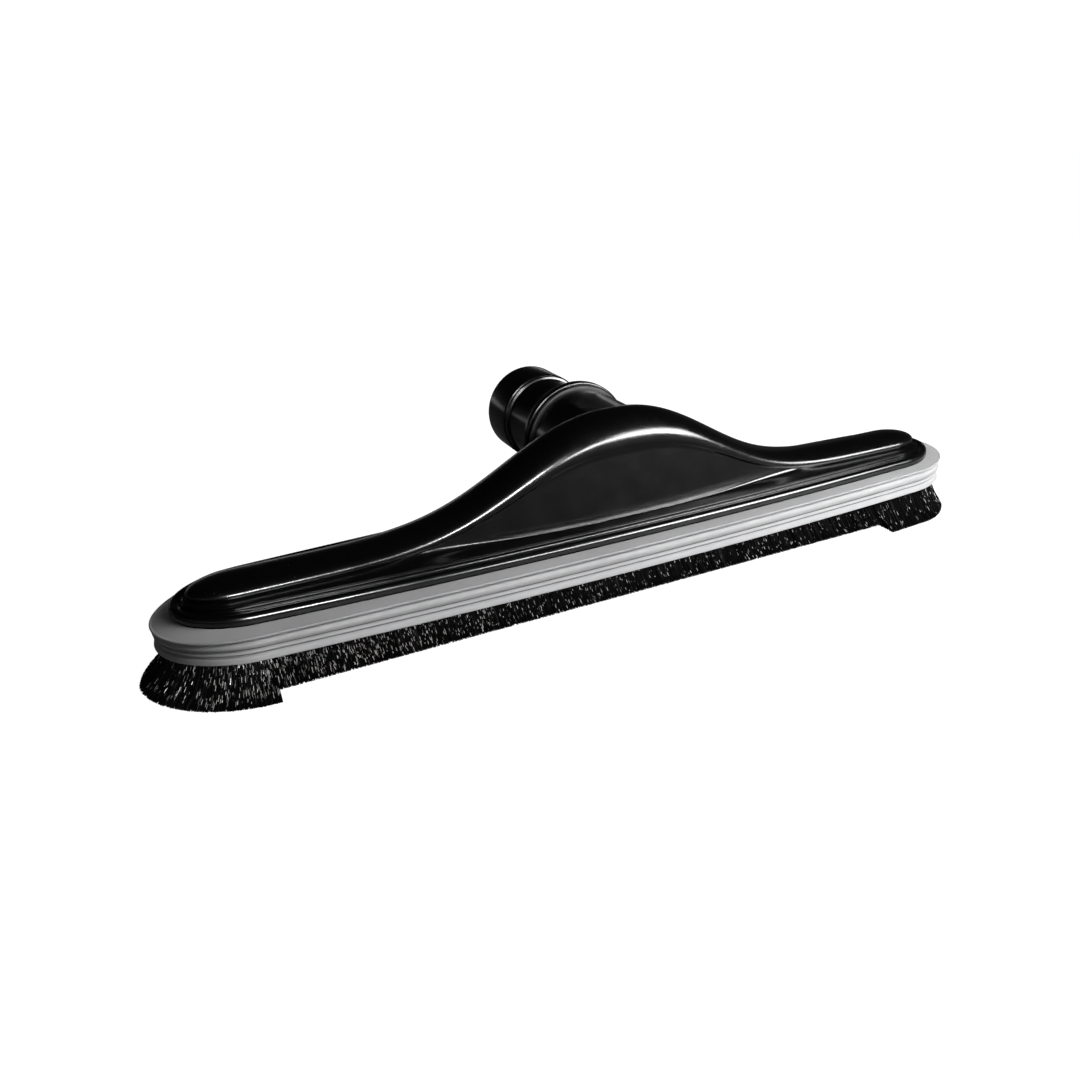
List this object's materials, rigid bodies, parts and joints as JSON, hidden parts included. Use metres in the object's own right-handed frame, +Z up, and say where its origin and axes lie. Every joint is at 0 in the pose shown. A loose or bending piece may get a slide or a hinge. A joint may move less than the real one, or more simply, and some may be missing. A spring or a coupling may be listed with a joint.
{
  "type": "hard floor vacuum brush",
  "caption": "Long hard-floor vacuum brush head with a domed housing, soft bumper, horsehair ring, open suction slot and a straight swivelling neck that takes a wand.",
  "frame": {"origin": "bottom centre of the bounding box: on the floor under the tips of the bristles, half way from the splayed front tips to the rim of the cuff, in the middle of the head's length", "axes": "+X along the head to the right as seen from the front, +Y from the brush front towards the neck and wand, +Z up"},
  "size_m": [0.372, 0.1226, 0.0701],
  "materials": {
    "gloss_black": "polished injection moulding",
    "matte_black": "fine moulded grain",
    "grey_vinyl": "satin extruded vinyl",
    "horsehair": "trimmed natural hair",
    "zinc_steel": "zinc plated",
    "seal_rubber": "matt"
  },
  "bodies": {
    "head": {"upper_housing": "gloss_black", "bumper": "grey_vinyl", "sole_plate": "matte_black", "front_brush_back": "zinc_steel", "rear_brush_back": "zinc_steel", "left_brush_back": "zinc_steel", "right_brush_back": "zinc_steel", "front_bristles": "horsehair", "rear_bristles": "horsehair", "left_bristles": "horsehair", "right_bristles": "horsehair", "sole_screw_1": "zinc_steel", "sole_screw_2": "zinc_steel", "sole_screw_3": "zinc_steel", "sole_screw_4": "zinc_steel", "sole_screw_5": "zinc_steel", "sole_screw_6": "zinc_steel", "sole_screw_7": "zinc_steel", "sole_screw_8": "zinc_steel", "neck_seal": "seal_rubber"},
    "neck": {"swivel_neck": "gloss_black", "wand_cuff": "gloss_black", "snap_ring": "zinc_steel"}
  },
  "joints": [
    {"name": "neck_swivel", "type": "hinge", "parent": "head", "child": "neck", "pos_m": [0, 0.00684, 0.0456], "axis": [0, 1, 0], "continuous": true}
  ]
}
